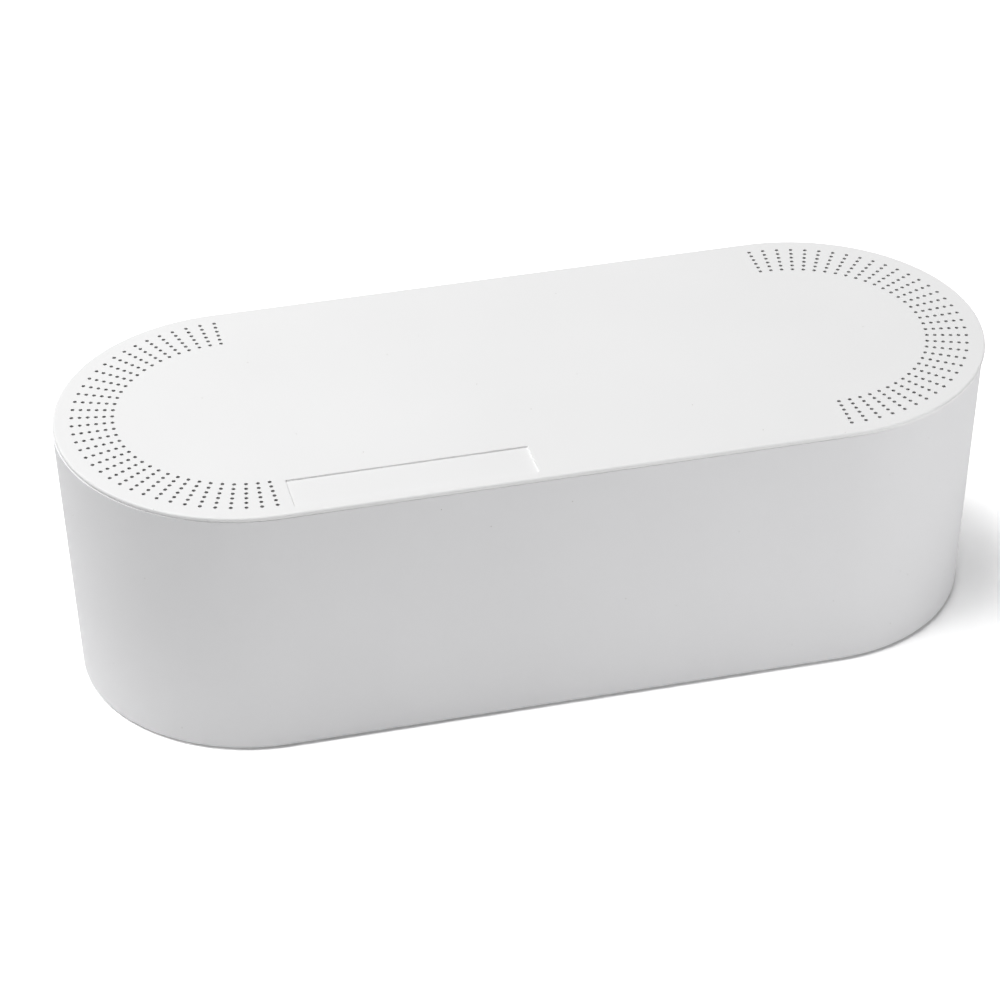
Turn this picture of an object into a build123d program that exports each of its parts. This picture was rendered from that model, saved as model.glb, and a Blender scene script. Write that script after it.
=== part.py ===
from build123d import *
import os
from math import cos, radians, sin, tan

# Cable management box: a drafted tub with half-round ends that hides a power strip and its
# plugs, a vented lid that lifts off, and four rubber feet. Millimetres, +Z up, +X along the
# length, -Y the front. The origin is on the floor, under the middle of the box.

# Overall size
LENGTH = 415.0  # of the lid
WIDTH = 165.0
HEIGHT = 125.0

# Tub
DRAFT = 2.3  # degrees: every wall leans in towards the floor, so the tub leaves its mould
WALL = 2.5
FLOOR = 2.5
BASE_BEVEL = 1.2  # outer edge round the underside
FLOOR_BEVEL = 2.5  # inner corner round the floor
RIM_BEVEL = 0.3  # both edges of the rim and of the cable outlets
LID_OVERHANG = 0.2  # the lid is this much larger than the rim, all round
LID_PLAY = 0.7  # the loose lid lies this far to the right on the tub
SEAM = 0.1  # open line between rim and lid

# Cable outlets: U-shaped notches in the rear wall, open at the rim
OUTLET_WIDTH = 28.0
OUTLET_DEPTH = 32.0
OUTLET_FROM_END_CENTRE = 30.0
OUTLET_MOUTH_ROUND = 4.0

# Rubber feet: square tapered bumpers, glued into pockets in the underside
FOOT_SIDE = 12.7
FOOT_HEIGHT = 2.5
FOOT_TAPER = 12.0  # degrees, each side
FOOT_POCKET_DEPTH = 1.0
FOOT_POCKET_CLEARANCE = 0.2
FOOT_FROM_WALL = 15.0  # foot centre to the outside of the wall
FOOT_ANGLE = 60.0  # degrees about the end centre, from the length

# Lid
LID_THICKNESS = 2.0
LID_BEVEL = 1.0  # upper edge
LIP_HEIGHT = 8.0
LIP_WALL = 2.0
LIP_CLEARANCE = 1.0  # lip to the inside of the tub, with the lid in the middle
LIP_GAP_MARGIN = 3.0  # the lip stops this far each side of an outlet
RIB_WALL = 1.6
RIB_DEPTH = 5.0
RIB_TO_VENTS = 1.5
CROSS_RIB_SPACING = 60.0

# Vent fields: small square holes in radial columns round each end of the lid
VENT_SIDE = 1.4
VENT_ROWS = 6
VENT_ROW_PITCH = 3.5
VENT_COLUMNS = 37
VENT_FROM_EDGE = 8.1  # outermost row to the edge of the lid

# Shallow bare panel in the top of the lid, at the front left
PANEL_LENGTH = 104.6
PANEL_WIDTH = 20.3
PANEL_DEPTH = 0.8
PANEL_FROM_EDGE = 5.0
PANEL_FROM_END_CENTRE = 6.6

# Worked out from the sizes above
LID_RADIUS = WIDTH / 2
END_CENTRE = LENGTH / 2 - LID_RADIUS
SLOPE = tan(radians(DRAFT))
LID_UNDERSIDE = HEIGHT - LID_THICKNESS
RIM_TOP = LID_UNDERSIDE - SEAM
RIM_RADIUS = LID_RADIUS - LID_OVERHANG
BASE = FOOT_HEIGHT - FOOT_POCKET_DEPTH
BASE_RADIUS = RIM_RADIUS - (RIM_TOP - BASE) * SLOPE
LIP_RADIUS = RIM_RADIUS - WALL - LIP_CLEARANCE
LIP_INNER_RADIUS = LIP_RADIUS - LIP_WALL
OUTLET_CENTRES = (OUTLET_FROM_END_CENTRE - END_CENTRE, END_CENTRE - OUTLET_FROM_END_CENTRE)
OUTLET_LOW = RIM_TOP - OUTLET_DEPTH
VENT_OUTER_ROW = LID_RADIUS - VENT_FROM_EDGE
VENT_INNER_ROW = VENT_OUTER_ROW - (VENT_ROWS - 1) * VENT_ROW_PITCH
RING_RIB_RADIUS = VENT_INNER_ROW - VENT_SIDE / 2 - RIB_TO_VENTS
TUB_X = -(LID_PLAY + LID_OVERHANG) / 2  # these two keep the origin under the middle of the box
LID_X = TUB_X + LID_PLAY
PAST = 1.0  # how far a cutting tool runs past the face that it cuts


def stadium(radius, height):
    """The flat outline at a height: half circles about both end centres, joined by straights."""
    return Pos(0, 0, height) * SlotCenterToCenter(2 * END_CENTRE, 2 * radius)


def lowest_edges(solid):
    """The edges round the lowest face."""
    return solid.faces().sort_by(Axis.Z)[0].edges()


def highest_edges(solid):
    """The edges round the highest face."""
    return solid.faces().sort_by(Axis.Z)[-1].edges()


def foot_places():
    """The middle of each foot under the tub, by its name."""
    across = BASE_RADIUS - FOOT_FROM_WALL
    turn = radians(FOOT_ANGLE)
    places = {}
    for end, x_sign in (("left", -1), ("right", 1)):
        for side, y_sign in (("front", -1), ("rear", 1)):
            x = x_sign * (END_CENTRE + across * cos(turn))
            places[f"foot_{side}_{end}"] = Pos(x, y_sign * across * sin(turn), 0)
    return places


def outlet_tool():
    """A U-shaped bar from the middle of the tub out through the rear wall, open above the rim."""
    low_centre = OUTLET_LOW + OUTLET_WIDTH / 2
    top = RIM_TOP + PAST
    slot = Pos(0, (low_centre + top) / 2) * Rectangle(OUTLET_WIDTH, top - low_centre)
    slot += Pos(0, low_centre) * Circle(OUTLET_WIDTH / 2)
    return extrude(Plane.XZ * slot, amount=-(LID_RADIUS + PAST))


def rim_and_outlet_edges(tub):
    """The edges that run along the rim and round the outlets, on both faces of the wall."""
    cut_faces = [face for face in tub.faces() if face.bounding_box().min.Z > OUTLET_LOW - PAST]
    edges = ShapeList(edge for face in cut_faces for edge in face.edges())
    return edges.filter_by(Axis.Y, reverse=True)


def make_tub():
    """The moulded body: drafted walls, pockets for the feet and two outlets at the rear."""
    height = RIM_TOP - BASE
    tub = extrude(stadium(BASE_RADIUS, BASE), amount=height, taper=-DRAFT)
    tub = chamfer(lowest_edges(tub), BASE_BEVEL)
    floor_radius = BASE_RADIUS + FLOOR * SLOPE - WALL
    hollow = extrude(stadium(floor_radius, BASE + FLOOR), amount=height - FLOOR + PAST, taper=-DRAFT)
    tub -= chamfer(lowest_edges(hollow), FLOOR_BEVEL)
    pocket_side = FOOT_SIDE + 2 * FOOT_POCKET_CLEARANCE
    pocket = Box(pocket_side, pocket_side, 2 * FOOT_POCKET_DEPTH)
    tub -= [place * Pos(0, 0, BASE) * pocket for place in foot_places().values()]
    tub -= [Pos(x, 0, 0) * outlet_tool() for x in OUTLET_CENTRES]
    across_wall = tub.edges().filter_by(Axis.Y)
    tub = fillet(across_wall.filter_by_position(Axis.Z, RIM_TOP - PAST, RIM_TOP + PAST), OUTLET_MOUTH_ROUND)
    return chamfer(rim_and_outlet_edges(tub), RIM_BEVEL)


def make_foot(place):
    """One rubber bumper, glued to the ceiling of its pocket and narrower at the floor."""
    top = place * Pos(0, 0, FOOT_HEIGHT) * Rectangle(FOOT_SIDE, FOOT_SIDE)
    return extrude(top, amount=-FOOT_HEIGHT, taper=FOOT_TAPER)


def vent_holes():
    """Every vent hole of the lid, as a list of short bars through its plate."""
    hole = Pos(0, 0, HEIGHT) * Box(VENT_SIDE, VENT_SIDE, 2 * (LID_THICKNESS + PAST))
    holes = []
    for end in (Pos(END_CENTRE, 0, 0), Location((-END_CENTRE, 0, 0), (0, 0, 180))):
        for row in range(VENT_ROWS):
            radius = VENT_INNER_ROW + row * VENT_ROW_PITCH
            columns = PolarLocations(radius, VENT_COLUMNS, -90, 180, endpoint=True)
            holes += [end * column * hole for column in columns]
    return holes


def make_lip():
    """The ring under the lid that drops inside the tub, open where the cables pass."""
    lip = extrude(stadium(LIP_RADIUS, LID_UNDERSIDE), amount=-LIP_HEIGHT, taper=DRAFT)
    lip -= extrude(stadium(LIP_INNER_RADIUS, LID_UNDERSIDE), amount=-LIP_HEIGHT)
    gap = Box(OUTLET_WIDTH + 2 * LIP_GAP_MARGIN, LID_RADIUS, LIP_HEIGHT)
    middle = LID_UNDERSIDE - LIP_HEIGHT / 2
    return lip - [Pos(x, LID_RADIUS / 2, middle) * gap for x in OUTLET_CENTRES]


def make_ribs():
    """Stiffening ribs: a ring just inside the vents, and bars across from lip to lip."""
    ribs = stadium(RING_RIB_RADIUS, 0) - stadium(RING_RIB_RADIUS - RIB_WALL, 0)
    bar = Rectangle(RIB_WALL, 2 * LIP_INNER_RADIUS + LIP_WALL)
    for x in (-CROSS_RIB_SPACING, 0, CROSS_RIB_SPACING):
        ribs += Pos(x, 0) * bar
    return extrude(Pos(0, 0, LID_UNDERSIDE) * ribs, amount=-RIB_DEPTH)


def make_lid():
    """The moulded lid, with its vents, front panel, lip and ribs."""
    plate = extrude(stadium(LID_RADIUS, LID_UNDERSIDE), amount=LID_THICKNESS)
    plate = chamfer(highest_edges(plate), LID_BEVEL)
    panel_x = PANEL_FROM_END_CENTRE - END_CENTRE + PANEL_LENGTH / 2
    panel_y = PANEL_FROM_EDGE - LID_RADIUS + PANEL_WIDTH / 2
    plate -= Pos(panel_x, panel_y, HEIGHT) * Box(PANEL_LENGTH, PANEL_WIDTH, 2 * PANEL_DEPTH)
    plate -= vent_holes()
    return plate + make_lip() + make_ribs()


def main():
    os.makedirs("parts", exist_ok=True)
    pieces = {"tub": Pos(TUB_X, 0, 0) * make_tub(), "lid": Pos(LID_X, 0, 0) * make_lid()}
    for name, place in foot_places().items():
        pieces[name] = Pos(TUB_X, 0, 0) * make_foot(place)
    for name, piece in pieces.items():
        export_step(piece, f"parts/{name}.step")


main()
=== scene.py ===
"""Looks of the cable management box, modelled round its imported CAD. Metres, +Z up, -Y the front."""

from math import cos, pi, radians, sin, tan

import bmesh
import bpy
from mathutils import Matrix, Vector
from mathutils.geometry import delaunay_2d_cdt


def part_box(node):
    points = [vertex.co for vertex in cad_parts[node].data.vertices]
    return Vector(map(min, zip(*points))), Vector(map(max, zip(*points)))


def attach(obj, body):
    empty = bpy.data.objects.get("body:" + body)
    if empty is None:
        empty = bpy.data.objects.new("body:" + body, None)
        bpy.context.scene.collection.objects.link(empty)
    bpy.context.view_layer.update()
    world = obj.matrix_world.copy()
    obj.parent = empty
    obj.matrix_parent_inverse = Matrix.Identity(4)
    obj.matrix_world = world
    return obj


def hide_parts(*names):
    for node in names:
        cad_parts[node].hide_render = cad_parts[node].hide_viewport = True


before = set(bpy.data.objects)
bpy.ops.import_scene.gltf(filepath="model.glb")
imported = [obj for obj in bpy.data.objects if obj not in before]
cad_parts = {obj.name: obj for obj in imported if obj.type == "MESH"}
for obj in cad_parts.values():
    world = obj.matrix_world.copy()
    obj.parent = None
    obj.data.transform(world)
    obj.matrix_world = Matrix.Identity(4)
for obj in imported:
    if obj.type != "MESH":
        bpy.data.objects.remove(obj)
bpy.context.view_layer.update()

MM = 0.001

# The overall sizes, read from the frame. Both mouldings are made round the origin and moved into
# place at the end, because the loose lid lies a little to the right on the tub.
lid_low, lid_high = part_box("lid")
tub_low, tub_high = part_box("tub")
LID_RADIUS = (lid_high.y - lid_low.y) / 2
LID_X = (lid_low.x + lid_high.x) / 2
LID_TOP = lid_high.z
LIP_LOW = lid_low.z
END_CENTRE = (lid_high.x - lid_low.x) / 2 - LID_RADIUS
TUB_RADIUS = (tub_high.y - tub_low.y) / 2  # at the widest, just under the rounded rim
TUB_X = tub_low.x + END_CENTRE + TUB_RADIUS
RIM_TOP = tub_high.z
BASE = tub_low.z
FEET = sorted(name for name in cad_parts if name.startswith("foot_"))

# Tub
DRAFT = tan(radians(2.3))
WALL = 2.5 * MM
FLOOR = 2.5 * MM
BASE_ROUND = 0.6 * MM
FLOOR_ROUND = 2.5 * MM
RIM_ROUND = 0.12 * MM
OUTLET_MIDDLES = (95 * MM, -95 * MM)
OUTLET_HALF = 14 * MM
OUTLET_DEPTH = 32 * MM
OUTLET_MOUTH_ROUND = 4 * MM

# Feet and the pockets that they are glued into
FOOT_TAPER = tan(radians(12))
FOOT_CORNER = 1.5 * MM
FOOT_EDGE_ROUND = 0.4 * MM
FOOT_ROUND_START = -30  # degrees, where the taper runs into the rounded lower edge
POCKET_DEPTH = 1.0 * MM
POCKET_CLEARANCE = 0.2 * MM

# Lid
LID_THICKNESS = 2.0 * MM
LID_TOP_ROUND = 1.0 * MM
LID_LOWER_ROUND = 0.15 * MM
LID_EDGE_LEAN = 0.2 * MM  # the edge leans in towards the seam
LIP_RADIUS = 78.8 * MM
LIP_WALL = 2.0 * MM
LIP_EDGE_ROUND = 0.4 * MM
LIP_GAP_HALF = OUTLET_HALF + 3 * MM  # the lip stops beside each outlet
RIB_WALL = 1.6 * MM
RIB_DEPTH = 5.0 * MM
RIB_EDGE_ROUND = 0.4 * MM
RIB_ROOT = 0.5 * MM  # how far a rib reaches into the plate before the two are joined
RING_RIB_RADIUS = 54.7 * MM
CROSS_RIBS = (-60 * MM, 0, 60 * MM)
LID_UNDERSIDE = LID_TOP - LID_THICKNESS
LIP_INNER_RADIUS = LIP_RADIUS - LIP_WALL

# Vent fields: round holes on radii round each end centre, wider below so that they leave the mould
VENT_RADIUS = 0.85 * MM
VENT_EXIT_RADIUS = 1.25 * MM
VENT_EDGE_ROUND = 0.08 * MM
VENT_ROWS = 6
VENT_ROW_PITCH = 3.5 * MM
VENT_COLUMNS = 37
VENT_MARGIN = 8.1 * MM  # from the outer row to the lid's edge
VENT_INNER_ROW = LID_RADIUS - VENT_MARGIN - (VENT_ROWS - 1) * VENT_ROW_PITCH

# The flat sides of the lid are filled part by part: a field round each end holds that end's vents
FIELD_RADIUS = RING_RIB_RADIUS + 0.5 * MM
FIELD_X = END_CENTRE - 3 * MM

# Bare panel let into the top of the lid
PANEL_LENGTH = 104.6 * MM
PANEL_WIDTH = 20.3 * MM
PANEL_LEFT = 6.6 * MM - END_CENTRE
PANEL_RIGHT = PANEL_LEFT + PANEL_LENGTH
PANEL_FRONT = 5.0 * MM - LID_RADIUS
PANEL_REAR = PANEL_FRONT + PANEL_WIDTH
PANEL_DEPTH = 0.8 * MM
PANEL_CORNER = 0.5 * MM
PANEL_EDGE_ROUND = 0.3 * MM
PANEL_FLOOR_ROUND = 0.12 * MM

# Mesh resolution
END_STEPS = 96  # round each half-round end, and round the floor
VENT_STEPS = 16
ROUND_STEPS = 6
SMALL_ROUND_STEPS = 3
OUTLET_STEPS = 24
CORNER_STEPS = 5
CDT_INSIDE = 1  # the output type that keeps only triangles inside the given loops
CDT_EPSILON = 1e-8
SHARP_ANGLE = radians(35)

# Materials: colours are linear, sizes and depths in metres
NOISE_LOW, NOISE_HIGH = 0.3, 0.7  # nearly all of a noise's values lie between these
NOISE_DETAIL = 2.0
MIX_FACTOR, MIX_ONE, MIX_OTHER = 0, 6, 7  # the inputs of a Mix node that mixes colours
MIX_COLOUR = 2  # and its output
BODY_TINTS = (0.85, 0.85, 0.86), (0.87, 0.87, 0.88)
LID_TINTS = (0.89, 0.89, 0.89), (0.91, 0.91, 0.91)
TONE_SIZE = 90 * MM
GRAIN_SIZE = 0.5 * MM
GRAIN_DEPTH = 0.006 * MM
WAVE_SIZE = 45 * MM
WAVE_DEPTH = 0.12 * MM
WAVE_DETAIL = 0.0
PLASTIC_ROUGHNESS = 0.44, 0.54
SPECK_COLOUR = (0.5, 0.48, 0.45)
SPECK_SPACING = 11 * MM
SPECK_SIZE = 0.3 * MM
RUBBER_COLOUR = (0.03, 0.03, 0.03)
RUBBER_DUST = (0.07, 0.07, 0.07)
RUBBER_DUST_SIZE = 4 * MM
RUBBER_DUST_DETAIL = 4.0
RUBBER_ROUGHNESS = 0.7, 0.9
RUBBER_GRAIN_DEPTH = 0.02 * MM

# Stage, light and camera: metres and degrees, lens in the camera's own millimetres
FLOOR_RADIUS = 0.95  # the lowest lamps stand just outside
WHITE = (1.0, 1.0, 1.0)
FLOOR_BOUNCE = (0.95, 0.95, 0.95)
FLOOR_SEEN = (2.0, 2.0, 2.0)  # for the camera only: the floor goes white and keeps the shadow
AMBIENT = (0.05, 0.05, 0.05)
LAMPS = (  # name, azimuth from the front towards the right, distance, height, size, watts
    ("high_left", 270, 1.2, 3.0, (2.2, 2.2), 83.0),
    ("high_rear", 210, 2.0, 2.8, (2.2, 2.2), 29.0),
    ("low_front", 0, 1.0, 0.1, (0.7, 0.18), 0.3),
    ("low_front_right", 45, 1.0, 0.1, (0.7, 0.18), 2.65),
    ("low_rear_right", 135, 1.0, 0.1, (0.7, 0.18), 1.55))
LAMP_AIM = 0.04  # the height on the box's axis that the lamps face
CAMERA_LENS = 130.9
CAMERA_AIM = (-0.0130, -0.0045, 0.0625)
CAMERA_DISTANCE = 1.620
CAMERA_AZIMUTH = 13.631
CAMERA_ELEVATION = 34.120
CAMERA_ROLL = -0.492


# Outlines

def stations(rear=(), front=()):
    """Places round a stadium, anticlockwise from the middle of the front: x of a centre, degrees."""
    turn = [180 * step / END_STEPS for step in range(END_STEPS + 1)]
    places = [(x, -90.0) for x in sorted(front) if x >= 0]
    places += [(END_CENTRE, angle - 90) for angle in turn]
    places += [(x, 90.0) for x in sorted(rear, reverse=True)]
    places += [(-END_CENTRE, angle + 90) for angle in turn]
    places += [(x, -90.0) for x in sorted(front) if x < 0]
    return places


def place_at(station, radius, height):
    """The point at a distance out from a station's centre."""
    centre, angle = station
    return Vector((centre + radius * cos(radians(angle)), radius * sin(radians(angle)), height))


def ring(mesh, places, radius, height):
    """Vertices round a stadium."""
    return [mesh.verts.new(place_at(station, radius, height)) for station in places]


def circle(mesh, middle, radius, height, steps):
    """Vertices round a circle."""
    turns = [2 * pi * step / steps for step in range(steps)]
    return [mesh.verts.new((middle[0] + radius * cos(turn), middle[1] + radius * sin(turn), height))
            for turn in turns]


def rounded_rectangle(mesh, low, high, corner, height):
    """Vertices round a rectangle between two corners, with its own corners rounded."""
    corners = ((high[0], high[1], 0), (low[0], high[1], 90),
               (low[0], low[1], 180), (high[0], low[1], 270))
    loop = []
    for x, y, start in corners:
        centre_x = x - corner if x == high[0] else x + corner
        centre_y = y - corner if y == high[1] else y + corner
        for step in range(CORNER_STEPS + 1):
            turn = radians(start + 90 * step / CORNER_STEPS)
            place = (centre_x + corner * cos(turn), centre_y + corner * sin(turn), height)
            loop.append(mesh.verts.new(place))
    return loop


def arc(centre, size, start, end, steps):
    """Points along a rounded edge in a section, from one angle in degrees to another."""
    turns = [radians(start + (end - start) * step / steps) for step in range(steps + 1)]
    return [(centre[0] + size * cos(turn), centre[1] + size * sin(turn)) for turn in turns]


# Faces

def bridge(mesh, one, other, skipped=()):
    """Four-sided faces between two closed loops with as many points, apart from skipped stretches."""
    count = len(one)
    for i in range(count):
        after = (i + 1) % count
        if i not in skipped:
            mesh.faces.new((one[i], one[after], other[after], other[i]))


def bridge_all(mesh, loops, skipped=()):
    """Faces between each loop and the next."""
    for one, other in zip(loops, loops[1:]):
        bridge(mesh, one, other, skipped)


def fill(mesh, outline, holes=()):
    """Triangles over a level region between its outline and the holes in it."""
    loops = [outline, *holes]
    verts = [vert for loop in loops for vert in loop]
    numbers = iter(range(len(verts)))
    faces = [[next(numbers) for _ in loop] for loop in loops]
    points = [vert.co.xy for vert in verts]
    _, _, triangles, sources, _, owners = delaunay_2d_cdt(points, [], faces, CDT_INSIDE, CDT_EPSILON)
    for triangle, owner in zip(triangles, owners):
        if owner == [0]:
            mesh.faces.new([verts[sources[i][0]] for i in triangle])


def new_piece(name, mesh, material, shift=0.0):
    """An object of a finished mesh, moved along X into its place."""
    bmesh.ops.recalc_face_normals(mesh, faces=mesh.faces)
    bmesh.ops.transform(mesh, matrix=Matrix.Translation((shift, 0, 0)), verts=mesh.verts)
    data = bpy.data.meshes.new(name)
    mesh.to_mesh(data)
    mesh.free()
    data.materials.append(material)
    piece = bpy.data.objects.new(name, data)
    bpy.context.scene.collection.objects.link(piece)
    return piece


def finish_shading(piece):
    """Smooth shading that keeps flat faces flat and sharp edges sharp."""
    piece.data.polygons.foreach_set("use_smooth", [True] * len(piece.data.polygons))
    piece.data.set_sharp_from_angle(angle=SHARP_ANGLE)
    weighted = piece.modifiers.new("weighted_normals", "WEIGHTED_NORMAL")
    weighted.keep_sharp = True


# Tub

def outer_radius(height):
    """The outside of the drafted wall at a height."""
    return TUB_RADIUS - (RIM_TOP - RIM_ROUND - height) * DRAFT


def outlet_path(middle, inset):
    """Points (x, z) along the dip in the rim for a cable outlet, from right to left.

    The inset is how far the line runs inside the edge of the wall.
    """
    low_centre = RIM_TOP - OUTLET_DEPTH + OUTLET_HALF
    mouth_z = RIM_TOP - OUTLET_MOUTH_ROUND
    mouth_out = OUTLET_HALF + OUTLET_MOUTH_ROUND
    path = arc((middle + mouth_out, mouth_z), OUTLET_MOUTH_ROUND - inset, 90, 180, ROUND_STEPS)
    path += arc((middle, low_centre), OUTLET_HALF + inset, 0, -180, OUTLET_STEPS)
    path += arc((middle - mouth_out, mouth_z), OUTLET_MOUTH_ROUND - inset, 0, 90, ROUND_STEPS)
    return path


def rim_ring(mesh, places, across, inset):
    """Vertices along the rim and round the outlets in the rear wall, some way in from the outside."""
    half = len(places) // 2
    path = [(station, RIM_TOP - inset) for station in places[:half]]
    path += [((x, 90.0), z) for middle in OUTLET_MIDDLES for x, z in outlet_path(middle, inset)]
    path += [(station, RIM_TOP - inset) for station in places[half:]]
    return [mesh.verts.new(place_at(station, outer_radius(z) - across, z)) for station, z in path]


def wall_face(mesh, lower, rim):
    """One side of the wall, from a level ring up to the dipping rim."""
    half = len(lower) // 2
    dips = len(rim) - len(lower)
    for i in range(half - 1):
        mesh.faces.new((lower[i], lower[i + 1], rim[i + 1], rim[i]))
        left = half + i
        mesh.faces.new((lower[left], lower[left + 1], rim[left + dips + 1], rim[left + dips]))
    mesh.faces.new((lower[-1], lower[0], rim[0], rim[-1]))
    mesh.faces.new([lower[half - 1], *rim[half - 1:half + dips + 1], lower[half]])


def foot_outline(name, grow, corner):
    """The lowest and highest corner (x, y) of a foot about the tub's own middle, grown all round."""
    low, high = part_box(name)
    return ((low.x - TUB_X - grow, low.y - grow), (high.x - TUB_X + grow, high.y + grow), corner + grow)


def underside(mesh, outline):
    """The face under the tub, with a shallow pocket for each foot."""
    mouths = []
    for name in FEET:
        shape = foot_outline(name, POCKET_CLEARANCE, FOOT_CORNER)
        mouth = rounded_rectangle(mesh, *shape, BASE)
        ceiling = rounded_rectangle(mesh, *shape, BASE + POCKET_DEPTH)
        bridge(mesh, mouth, ceiling)
        mesh.faces.new(ceiling)
        mouths.append(mouth)
    fill(mesh, outline, mouths)


def rounded_rim(mesh, places):
    """The rim, rounded on both sides, as loops from the outside of the wall to the inside."""
    section = arc((RIM_ROUND, -RIM_ROUND), RIM_ROUND, 180, 90, SMALL_ROUND_STEPS)
    section += arc((WALL - RIM_ROUND, -RIM_ROUND), RIM_ROUND, 90, 0, SMALL_ROUND_STEPS)
    loops = [rim_ring(mesh, places, across, -z) for across, z in section]
    bridge_all(mesh, loops)
    return loops


def wall_side(mesh, places, rim, depth, level, size):
    """One side of the wall, some depth inside it, and the rounded edge that ends at a level.

    Returns the loop at that level.
    """
    bend = level + size
    section = arc((outer_radius(bend) - depth - size, bend), size, 0, -90, ROUND_STEPS)
    loops = [ring(mesh, places, radius, z) for radius, z in section]
    wall_face(mesh, loops[0], rim)
    bridge_all(mesh, loops)
    return loops[-1]


def tub_shell(material):
    """The moulded body: a drafted wall with outlets, a rounded floor and pockets for the feet."""
    mesh = bmesh.new()
    places = stations()
    rim = rounded_rim(mesh, places)
    underside(mesh, wall_side(mesh, places, rim[0], 0.0, BASE, BASE_ROUND))
    mesh.faces.new(wall_side(mesh, places, rim[-1], WALL, BASE + FLOOR, FLOOR_ROUND))
    piece = new_piece("tub_shell", mesh, material, TUB_X)
    finish_shading(piece)
    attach(piece, "box")
    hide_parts("tub")


# Feet

def foot_bumper(name, material):
    """A square rubber bumper that narrows towards the floor, with its lower edge rounded."""
    mesh = bmesh.new()
    low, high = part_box(name)
    height = high.z - low.z
    bend = low.z + FOOT_EDGE_ROUND
    section = [(0.0, high.z), (-(high.z - bend) * FOOT_TAPER, bend)]
    section += [(-height * FOOT_TAPER - FOOT_EDGE_ROUND + across, z) for across, z in
                arc((0.0, bend), FOOT_EDGE_ROUND, FOOT_ROUND_START, -90, SMALL_ROUND_STEPS)]
    loops = [rounded_rectangle(mesh, *foot_outline(name, grow, FOOT_CORNER), z) for grow, z in section]
    bridge_all(mesh, loops)
    mesh.faces.new(loops[0])
    mesh.faces.new(loops[-1])
    piece = new_piece(name + "_bumper", mesh, material, TUB_X)
    finish_shading(piece)
    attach(piece, "box")
    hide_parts(name)


# Lid

def vent_middles(side):
    """The middle of each vent hole at one end of the lid: 1 for the right end, -1 for the left."""
    middles = []
    for row in range(VENT_ROWS):
        radius = VENT_INNER_ROW + row * VENT_ROW_PITCH
        for column in range(VENT_COLUMNS):
            angle = pi * column / (VENT_COLUMNS - 1) - pi / 2
            middles.append((side * (END_CENTRE + radius * cos(angle)), radius * sin(angle)))
    return middles


def vent_holes(mesh, side):
    """The walls of the vent holes at one end, and their loops in the top and in the underside."""
    edge = arc((VENT_RADIUS + VENT_EDGE_ROUND, LID_TOP - VENT_EDGE_ROUND), VENT_EDGE_ROUND, 90, 180,
               SMALL_ROUND_STEPS)
    mouths, exits = [], []
    for middle in vent_middles(side):
        loops = [circle(mesh, middle, radius, z, VENT_STEPS) for radius, z in edge]
        loops.append(circle(mesh, middle, VENT_EXIT_RADIUS, LID_UNDERSIDE, VENT_STEPS))
        bridge_all(mesh, loops)
        mouths.append(loops[0])
        exits.append(loops[-1])
    return mouths, exits


def panel_recess(mesh):
    """The walls and floor of the bare panel, and its loop in the top."""
    low, high = (PANEL_LEFT, PANEL_FRONT), (PANEL_RIGHT, PANEL_REAR)
    floor = LID_TOP - PANEL_DEPTH
    section = arc((PANEL_EDGE_ROUND, LID_TOP - PANEL_EDGE_ROUND), PANEL_EDGE_ROUND, 90, 180,
                  SMALL_ROUND_STEPS)
    section += arc((-PANEL_FLOOR_ROUND, floor + PANEL_FLOOR_ROUND), PANEL_FLOOR_ROUND, 0, -90,
                   SMALL_ROUND_STEPS)
    loops = []
    for grow, z in section:
        corners = (low[0] - grow, low[1] - grow), (high[0] + grow, high[1] + grow)
        loops.append(rounded_rectangle(mesh, *corners, PANEL_CORNER + grow, z))
    bridge_all(mesh, loops)
    mesh.faces.new(loops[-1])
    return loops[0]


def stretch(outer, inner, first, last):
    """The outline of a region between two rings, from one station to another."""
    count = len(outer)
    picked = [(first + step) % count for step in range((last - first) % count + 1)]
    return [outer[i] for i in picked] + [inner[i] for i in reversed(picked)]


def level_face(mesh, places, outer, height, end_holes, front_holes=()):
    """One flat side of the lid, out to a ring: a field at each end, two sides and the middle."""
    inner = ring(mesh, places, FIELD_RADIUS, height)
    corners = [places.index(corner) for corner in
               ((FIELD_X, -90.0), (FIELD_X, 90.0), (-FIELD_X, 90.0), (-FIELD_X, -90.0))]
    holes = (end_holes[0], (), end_holes[1], front_holes)
    for first, last, inside in zip(corners, corners[1:] + corners[:1], holes):
        fill(mesh, stretch(outer, inner, first, last), inside)
    mesh.faces.new(inner)


def plate_edge(mesh, places):
    """The edge of the plate, rounded on both sides, as loops from the top to the underside."""
    top_centre = (LID_RADIUS - LID_TOP_ROUND, LID_TOP - LID_TOP_ROUND)
    low_centre = (LID_RADIUS - LID_EDGE_LEAN - LID_LOWER_ROUND, LID_UNDERSIDE + LID_LOWER_ROUND)
    section = arc(top_centre, LID_TOP_ROUND, 90, 0, ROUND_STEPS)
    section += arc(low_centre, LID_LOWER_ROUND, 0, -90, SMALL_ROUND_STEPS)
    loops = [ring(mesh, places, radius, z) for radius, z in section]
    bridge_all(mesh, loops)
    return loops


def lip_section():
    """The section (radius, height) of the lip, down its drafted outside and up its inside."""
    bend = LIP_LOW + LIP_EDGE_ROUND
    outside = (LIP_RADIUS - (LID_UNDERSIDE - LIP_LOW) * DRAFT - LIP_EDGE_ROUND, bend)
    inside = (LIP_INNER_RADIUS + LIP_EDGE_ROUND, bend)
    section = [(LIP_RADIUS, LID_UNDERSIDE)]
    section += arc(outside, LIP_EDGE_ROUND, 0, -90, SMALL_ROUND_STEPS)
    section += arc(inside, LIP_EDGE_ROUND, -90, -180, SMALL_ROUND_STEPS)
    section += [(LIP_INNER_RADIUS, LID_UNDERSIDE)]
    return section


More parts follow.
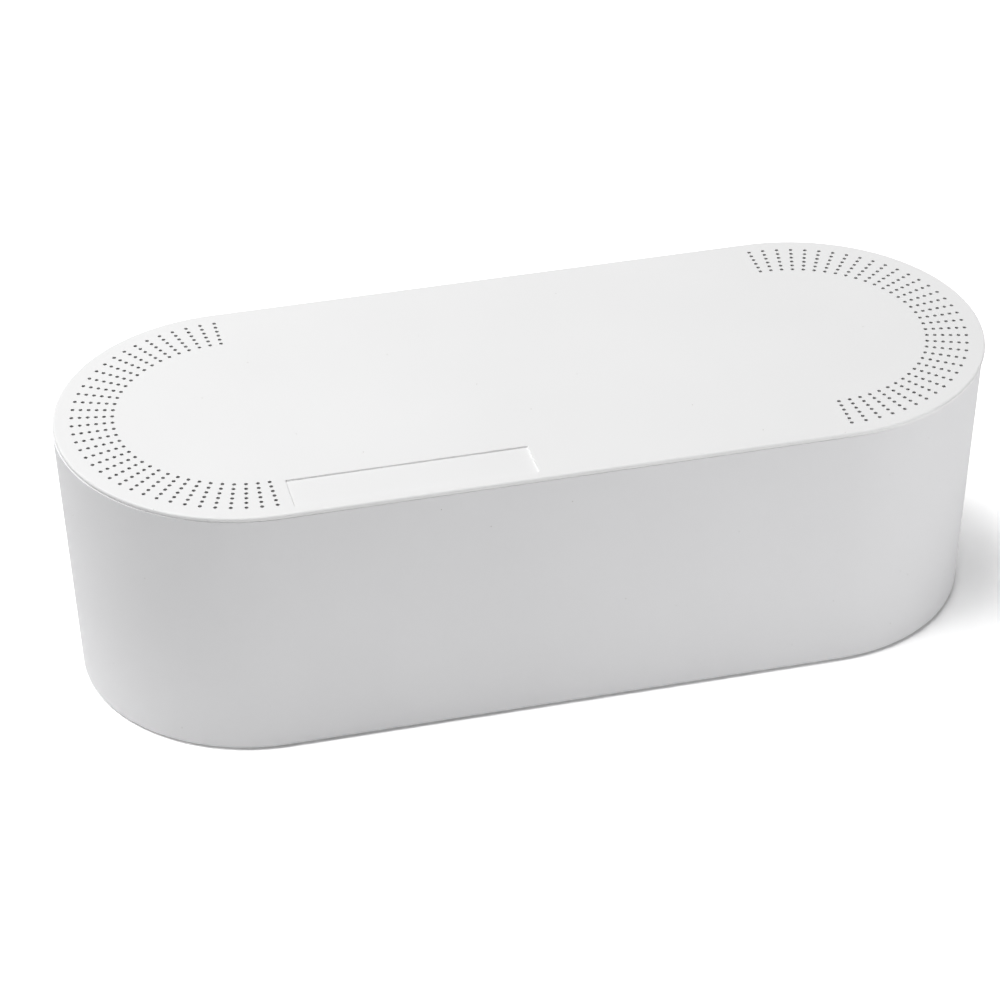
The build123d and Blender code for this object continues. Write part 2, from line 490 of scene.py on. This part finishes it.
def locating_lip(mesh, places, rim):
    """The strip of underside inside the plate's edge, and the lip, with a gap at each outlet."""
    gaps = [places.index((middle + LIP_GAP_HALF, 90.0)) for middle in OUTLET_MIDDLES]
    loops = [ring(mesh, places, radius, z) for radius, z in lip_section()]
    bridge(mesh, rim, loops[0])
    bridge_all(mesh, loops, skipped=gaps)
    for i in gaps:
        mesh.faces.new((loops[0][i], loops[0][i + 1], loops[-1][i + 1], loops[-1][i]))
        mesh.faces.new([loop[i] for loop in loops])
        mesh.faces.new([loop[i + 1] for loop in loops])
    return loops


def lid_plate(material):
    """The plate, its rounded edge, vents and panel, and the lip that locates it in the tub."""
    mesh = bmesh.new()
    gap_ends = [middle + side * LIP_GAP_HALF for middle in OUTLET_MIDDLES for side in (-1, 1)]
    places = stations(rear=[FIELD_X, -FIELD_X, *gap_ends], front=[FIELD_X, -FIELD_X])
    edge = plate_edge(mesh, places)
    lip = locating_lip(mesh, places, edge[-1])
    right, left = vent_holes(mesh, 1), vent_holes(mesh, -1)
    level_face(mesh, places, edge[0], LID_TOP, (right[0], left[0]), [panel_recess(mesh)])
    level_face(mesh, places, lip[-1], LID_UNDERSIDE, (right[1], left[1]))
    return new_piece("lid_shell", mesh, material, LID_X)


def rib_section():
    """The section (across, height) of a rib that hangs from the underside, its lower edge rounded."""
    half = RIB_WALL / 2
    bend = LID_UNDERSIDE - RIB_DEPTH + RIB_EDGE_ROUND
    section = [(half, LID_UNDERSIDE + RIB_ROOT)]
    section += arc((half - RIB_EDGE_ROUND, bend), RIB_EDGE_ROUND, 0, -90, SMALL_ROUND_STEPS)
    section += arc((RIB_EDGE_ROUND - half, bend), RIB_EDGE_ROUND, -90, -180, SMALL_ROUND_STEPS)
    section += [(-half, LID_UNDERSIDE + RIB_ROOT)]
    return section


def lid_ribs(material):
    """The stiffening ribs, as closed solids: a ring inside the vents and bars from lip to lip."""
    mesh = bmesh.new()
    places = stations()
    middle = RING_RIB_RADIUS - RIB_WALL / 2
    loops = [ring(mesh, places, middle + across, z) for across, z in rib_section()]
    bridge_all(mesh, loops + loops[:1])
    reach = LIP_INNER_RADIUS + LIP_WALL / 2
    for x in CROSS_RIBS:
        ends = [[mesh.verts.new((x + across, y, z)) for across, z in rib_section()]
                for y in (-reach, reach)]
        bridge(mesh, *ends)
        for end in ends:
            mesh.faces.new(end)
    return new_piece("lid_ribs", mesh, material, LID_X)


def join_solids(piece, other):
    """Unites another solid with a piece's mesh, and removes that other object."""
    union = piece.modifiers.new("union", "BOOLEAN")
    union.operation = "UNION"
    union.solver = "EXACT"
    union.use_self = True
    union.object = other
    joined = bpy.data.meshes.new_from_object(piece.evaluated_get(bpy.context.evaluated_depsgraph_get()))
    piece.modifiers.remove(union)
    piece.data = joined
    bpy.data.objects.remove(other)


def lid_shell(material):
    """The lid: its plate and lip in one with the ribs."""
    piece = lid_plate(material)
    join_solids(piece, lid_ribs(material))
    finish_shading(piece)
    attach(piece, "lid")
    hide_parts("lid")


# Materials

def new_material(name):
    """A material, its node tree and its shader."""
    material = bpy.data.materials.new(name)
    material.use_nodes = True
    return material, material.node_tree, material.node_tree.nodes["Principled BSDF"]


def add_node(tree, kind, **inputs):
    """A node with some of its input values set; an underscore in a name stands for a space."""
    node = tree.nodes.new(kind)
    for name, value in inputs.items():
        node.inputs[name.replace("_", " ")].default_value = value
    return node


def noise(tree, size, detail=NOISE_DETAIL):
    """Noise whose features are about a size in metres, in the piece's own coordinates."""
    where = tree.nodes.new("ShaderNodeTexCoord")
    node = add_node(tree, "ShaderNodeTexNoise", Scale=1 / size, Detail=detail)
    tree.links.new(where.outputs["Object"], node.inputs["Vector"])
    return node.outputs["Fac"]


def spread(tree, factor, low, high, start=NOISE_LOW, end=NOISE_HIGH):
    """A number from low to high as the noise goes from start to end."""
    node = tree.nodes.new("ShaderNodeMapRange")
    for name, value in (("From Min", start), ("From Max", end), ("To Min", low), ("To Max", high)):
        node.inputs[name].default_value = value
    tree.links.new(factor, node.inputs["Value"])
    return node.outputs["Result"]


def blend_colours(tree, factor, one, other):
    """A colour between two, each a colour or another node's output."""
    node = tree.nodes.new("ShaderNodeMix")
    node.data_type = "RGBA"
    tree.links.new(factor, node.inputs[MIX_FACTOR])
    for socket, colour in ((node.inputs[MIX_ONE], one), (node.inputs[MIX_OTHER], other)):
        if isinstance(colour, bpy.types.NodeSocket):
            tree.links.new(colour, socket)
        else:
            socket.default_value = (*colour, 1)
    return node.outputs[MIX_COLOUR]


def specks(tree, spacing, size):
    """1 on sparse round specks, such as dust, and 0 between them."""
    where = tree.nodes.new("ShaderNodeTexCoord")
    cells = add_node(tree, "ShaderNodeTexVoronoi", Scale=1 / spacing)
    tree.links.new(where.outputs["Object"], cells.inputs["Vector"])
    return spread(tree, cells.outputs["Distance"], 1, 0, size / spacing / 2, size / spacing)


def add_bump(tree, height, depth, under=None):
    """A bump of a depth in metres, on top of another bump if there is one."""
    node = add_node(tree, "ShaderNodeBump", Strength=1, Distance=depth)
    tree.links.new(height, node.inputs["Height"])
    if under is not None:
        tree.links.new(under, node.inputs["Normal"])
    return node.outputs["Normal"]


def moulded_plastic(name, tint, other_tint):
    """Fine matt white plastic: a soft drift in tone, moulding texture, slight waves and dust."""
    material, tree, shader = new_material(name)
    tone = spread(tree, noise(tree, TONE_SIZE), 0, 1)
    colour = blend_colours(tree, tone, tint, other_tint)
    colour = blend_colours(tree, specks(tree, SPECK_SPACING, SPECK_SIZE), colour, SPECK_COLOUR)
    tree.links.new(colour, shader.inputs["Base Color"])
    grain = noise(tree, GRAIN_SIZE)
    tree.links.new(spread(tree, grain, *PLASTIC_ROUGHNESS), shader.inputs["Roughness"])
    waves = add_bump(tree, noise(tree, WAVE_SIZE, WAVE_DETAIL), WAVE_DEPTH)
    tree.links.new(add_bump(tree, grain, GRAIN_DEPTH, waves), shader.inputs["Normal"])
    return material


def black_rubber():
    """Matt black rubber with a slightly dusty, fine grained surface."""
    material, tree, shader = new_material("black_rubber")
    dust = spread(tree, noise(tree, RUBBER_DUST_SIZE, RUBBER_DUST_DETAIL), 0, 1)
    tree.links.new(blend_colours(tree, dust, RUBBER_COLOUR, RUBBER_DUST), shader.inputs["Base Color"])
    tree.links.new(spread(tree, dust, *RUBBER_ROUGHNESS, 0, 1), shader.inputs["Roughness"])
    tree.links.new(add_bump(tree, noise(tree, GRAIN_SIZE), RUBBER_GRAIN_DEPTH), shader.inputs["Normal"])
    return material


# Stage, light and camera

def seen_directly(tree, path):
    """1 for what the camera sees, also in a reflection or through glass, and 0 for other light."""
    total = path.outputs["Is Camera Ray"]
    for other in ("Is Glossy Ray", "Is Transmission Ray"):
        either = tree.nodes.new("ShaderNodeMath")
        either.operation = "MAXIMUM"
        tree.links.new(total, either.inputs[0])
        tree.links.new(path.outputs[other], either.inputs[1])
        total = either.outputs[0]
    return total


def lay_floor():
    """A plain round white floor, as bright to the camera as the background but for the shadow."""
    mesh = bmesh.new()
    mesh.faces.new(circle(mesh, (0, 0), FLOOR_RADIUS, 0.0, END_STEPS))
    material, tree, shader = new_material("white_floor")
    shader.inputs["Roughness"].default_value = 1
    shader.inputs["Specular IOR Level"].default_value = 0
    path = tree.nodes.new("ShaderNodeLightPath")
    lit = blend_colours(tree, seen_directly(tree, path), FLOOR_BOUNCE, WHITE)
    seen = blend_colours(tree, path.outputs["Is Camera Ray"], lit, FLOOR_SEEN)
    tree.links.new(seen, shader.inputs["Base Color"])
    new_piece("floor", mesh, material)


def fill_world():
    """Even light from all round, and a white background."""
    world = bpy.data.worlds.new("studio")
    world.use_nodes = True
    bpy.context.scene.world = world
    tree = world.node_tree
    path = tree.nodes.new("ShaderNodeLightPath")
    colour = blend_colours(tree, seen_directly(tree, path), AMBIENT, WHITE)
    tree.links.new(colour, tree.nodes["Background"].inputs["Color"])


def softbox(name, azimuth, distance, height, size, power):
    """A large rectangular lamp that faces the box."""
    lamp = bpy.data.lights.new(name, "AREA")
    lamp.shape = "RECTANGLE"
    lamp.size, lamp.size_y = size
    lamp.energy = power
    side = radians(azimuth)
    place = Vector((distance * sin(side), -distance * cos(side), height))
    holder = bpy.data.objects.new(name, lamp)
    holder.location = place
    holder.rotation_euler = (Vector((0, 0, LAMP_AIM)) - place).to_track_quat("-Z", "Y").to_euler()
    holder.visible_camera = False
    bpy.context.scene.collection.objects.link(holder)


def place_camera():
    """The photograph's view: a long lens, looking down from the front left."""
    camera = bpy.data.cameras.new("camera")
    camera.lens = CAMERA_LENS
    azimuth, elevation = radians(CAMERA_AZIMUTH), radians(CAMERA_ELEVATION)
    forward = Vector((sin(azimuth) * cos(elevation), cos(azimuth) * cos(elevation), -sin(elevation)))
    turn = forward.to_track_quat("-Z", "Y").to_matrix() @ Matrix.Rotation(radians(CAMERA_ROLL), 3, "Z")
    holder = bpy.data.objects.new("camera", camera)
    holder.location = Vector(CAMERA_AIM) - CAMERA_DISTANCE * forward
    holder.rotation_euler = turn.to_euler()
    bpy.context.scene.collection.objects.link(holder)
    bpy.context.scene.camera = holder


place_camera()
lay_floor()
fill_world()
for lamp in LAMPS:
    softbox(*lamp)
tub_shell(moulded_plastic("body_white", *BODY_TINTS))
lid_shell(moulded_plastic("lid_white", *LID_TINTS))
rubber = black_rubber()
for foot in FEET:
    foot_bumper(foot, rubber)

bpy.context.scene.view_settings.view_transform = "Standard"
